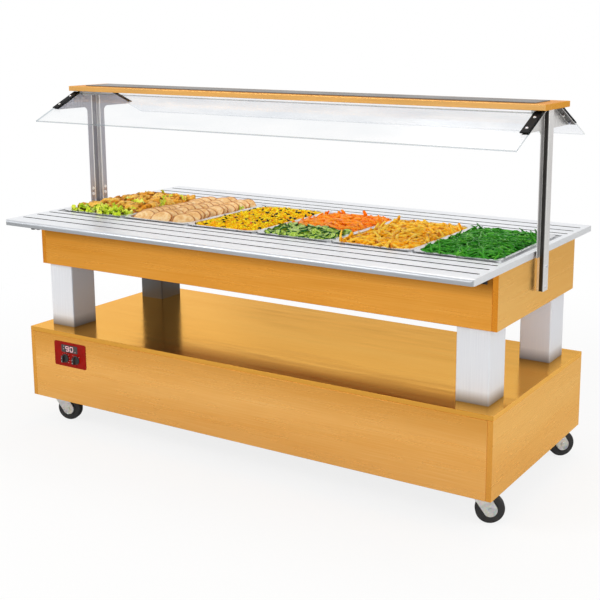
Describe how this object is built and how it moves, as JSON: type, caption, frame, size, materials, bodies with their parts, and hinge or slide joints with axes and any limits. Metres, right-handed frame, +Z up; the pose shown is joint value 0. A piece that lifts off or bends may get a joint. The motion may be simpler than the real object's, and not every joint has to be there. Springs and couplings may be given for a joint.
{
  "type": "mobile heated buffet",
  "caption": "Long heated serving counter on swivel casters, with food pans in a water well, tray slides, a lower shelf and a lamp canopy with sloping glass.",
  "frame": {"origin": "on the floor, under the middle of the counter", "axes": "+X along the counter, -Y towards the control side, +Z up"},
  "size_m": [2.11, 1.082, 1.379],
  "materials": {
    "board": "gloss high-pressure laminate with a fine lengthwise grain",
    "stainless": "fine brushed stainless steel",
    "post_steel": "satin stainless steel",
    "chassis": "grey powder coat",
    "pan_steel": "drawn stainless steel",
    "black_steel": "satin black coat",
    "lid": "dark grey coat",
    "red_plate": "gloss red print",
    "display": "dark clear window",
    "knob_black": "satin black",
    "zinc": "bright zinc plate",
    "hub_grey": "moulded grey plastic",
    "tyre_black": "black rubber",
    "glass_clear": "toughened clear glass",
    "lamp_glass": "quartz with ceramic ends",
    "valve_brass": "machined brass",
    "element": "heat-dulled sheath"
  },
  "bodies": {
    "root": {"base_front_panel": "board", "base_rear_panel": "board", "base_left_panel": "board", "base_right_panel": "board", "base_shelf": "board", "body_front_panel": "board", "body_rear_panel": "board", "body_left_panel": "board", "body_right_panel": "board", "body_floor": "board", "canopy_frame": "board", "base_chassis": "chassis", "column_front_left": "stainless", "column_front_right": "stainless", "column_rear_left": "stainless", "column_rear_right": "stainless", "worktop": "stainless", "well_tank": "stainless", "pan_support_bars": "stainless", "lamp_housing": "stainless", "button_screws": "stainless", "control_box": "stainless", "worktop_brackets": "black_steel", "glass_clamps": "black_steel", "heating_elements": "element", "drain_valve": "valve_brass", "cable_gland": "knob_black", "control_plate": "red_plate", "display_window": "display", "post_left": "post_steel", "post_right": "post_steel", "canopy_cover": "lid", "lamp_tubes": "lamp_glass", "lamp_cover": "glass_clear", "glass_front": "glass_clear", "glass_rear": "glass_clear", "caster_plates": "zinc"},
    "drain_lever": {"drain_lever": "knob_black"},
    "thermostat_knob": {"thermostat_knob": "knob_black"},
    "light_switch_knob": {"light_switch_knob": "knob_black"},
    "pan_1": {"pan_1": "pan_steel"},
    "pan_2": {"pan_2": "pan_steel"},
    "pan_3": {"pan_3": "pan_steel"},
    "pan_4": {"pan_4": "pan_steel"},
    "pan_5": {"pan_5": "pan_steel"},
    "pan_6": {"pan_6": "pan_steel"},
    "caster_fork_front_left": {"caster_fork_front_left": "zinc"},
    "caster_wheel_front_left": {"caster_hub_front_left": "hub_grey", "caster_tyre_front_left": "tyre_black"},
    "brake_pedal_front_left": {"brake_pedal_front_left": "knob_black"},
    "caster_fork_front_right": {"caster_fork_front_right": "zinc"},
    "caster_wheel_front_right": {"caster_hub_front_right": "hub_grey", "caster_tyre_front_right": "tyre_black"},
    "caster_fork_rear_left": {"caster_fork_rear_left": "zinc"},
    "caster_wheel_rear_left": {"caster_hub_rear_left": "hub_grey", "caster_tyre_rear_left": "tyre_black"},
    "brake_pedal_rear_left": {"brake_pedal_rear_left": "knob_black"},
    "caster_fork_rear_right": {"caster_fork_rear_right": "zinc"},
    "caster_wheel_rear_right": {"caster_hub_rear_right": "hub_grey", "caster_tyre_rear_right": "tyre_black"}
  },
  "joints": [
    {"name": "drain_lever_turn", "type": "hinge", "parent": "root", "child": "drain_lever", "pos_m": [0.7, 0.384, 0.725], "axis": [0, 0, 1], "range_deg": [0, 90]},
    {"name": "thermostat_turn", "type": "hinge", "parent": "root", "child": "thermostat_knob", "pos_m": [-0.84, -0.4193, 0.301], "axis": [0, -1, 0], "range_deg": [0, 270]},
    {"name": "light_switch_turn", "type": "hinge", "parent": "root", "child": "light_switch_knob", "pos_m": [-0.782, -0.4193, 0.301], "axis": [0, -1, 0], "range_deg": [0, 90]},
    {"name": "pan_1_lift", "type": "slide", "parent": "root", "child": "pan_1", "axis": [0, 0, 1], "range_m": [0, 0.12]},
    {"name": "pan_2_lift", "type": "slide", "parent": "root", "child": "pan_2", "axis": [0, 0, 1], "range_m": [0, 0.12]},
    {"name": "pan_3_lift", "type": "slide", "parent": "root", "child": "pan_3", "axis": [0, 0, 1], "range_m": [0, 0.12]},
    {"name": "pan_4_lift", "type": "slide", "parent": "root", "child": "pan_4", "axis": [0, 0, 1], "range_m": [0, 0.12]},
    {"name": "pan_5_lift", "type": "slide", "parent": "root", "child": "pan_5", "axis": [0, 0, 1], "range_m": [0, 0.12]},
    {"name": "pan_6_lift", "type": "slide", "parent": "root", "child": "pan_6", "axis": [0, 0, 1], "range_m": [0, 0.12]},
    {"name": "caster_swivel_front_left", "type": "hinge", "parent": "root", "child": "caster_fork_front_left", "pos_m": [-0.955, -0.338, 0.117], "axis": [0, 0, 1], "continuous": true},
    {"name": "caster_roll_front_left", "type": "hinge", "parent": "caster_fork_front_left", "child": "caster_wheel_front_left", "pos_m": [-0.91886, -0.32626, 0.05], "axis": [-0.309, 0.9511, 0], "continuous": true},
    {"name": "brake_pedal_press_front_left", "type": "hinge", "parent": "caster_fork_front_left", "child": "brake_pedal_front_left", "pos_m": [-0.89223, -0.31761, 0.101], "axis": [-0.309, 0.9511, 0], "range_deg": [0, 8]},
    {"name": "caster_swivel_front_right", "type": "hinge", "parent": "root", "child": "caster_fork_front_right", "pos_m": [0.955, -0.338, 0.117], "axis": [0, 0, 1], "continuous": true},
    {"name": "caster_roll_front_right", "type": "hinge", "parent": "caster_fork_front_right", "child": "caster_wheel_front_right", "pos_m": [0.98791, -0.319, 0.05], "axis": [-0.5, 0.866, 0], "continuous": true},
    {"name": "caster_swivel_rear_left", "type": "hinge", "parent": "root", "child": "caster_fork_rear_left", "pos_m": [-0.955, 0.338, 0.117], "axis": [0, 0, 1], "continuous": true},
    {"name": "caster_roll_rear_left", "type": "hinge", "parent": "caster_fork_rear_left", "child": "caster_wheel_rear_left", "pos_m": [-0.91929, 0.325, 0.05], "axis": [0.342, 0.9397, 0], "continuous": true},
    {"name": "brake_pedal_press_rear_left", "type": "hinge", "parent": "caster_fork_rear_left", "child": "brake_pedal_rear_left", "pos_m": [-0.89298, 0.31543, 0.101], "axis": [0.342, 0.9397, 0], "range_deg": [0, 8]},
    {"name": "caster_swivel_rear_right", "type": "hinge", "parent": "root", "child": "caster_fork_rear_right", "pos_m": [0.955, 0.338, 0.117], "axis": [0, 0, 1], "continuous": true},
    {"name": "caster_roll_rear_right", "type": "hinge", "parent": "caster_fork_rear_right", "child": "caster_wheel_rear_right", "pos_m": [0.98187, 0.36487, 0.05], "axis": [-0.7071, 0.7071, 0], "continuous": true}
  ]
}
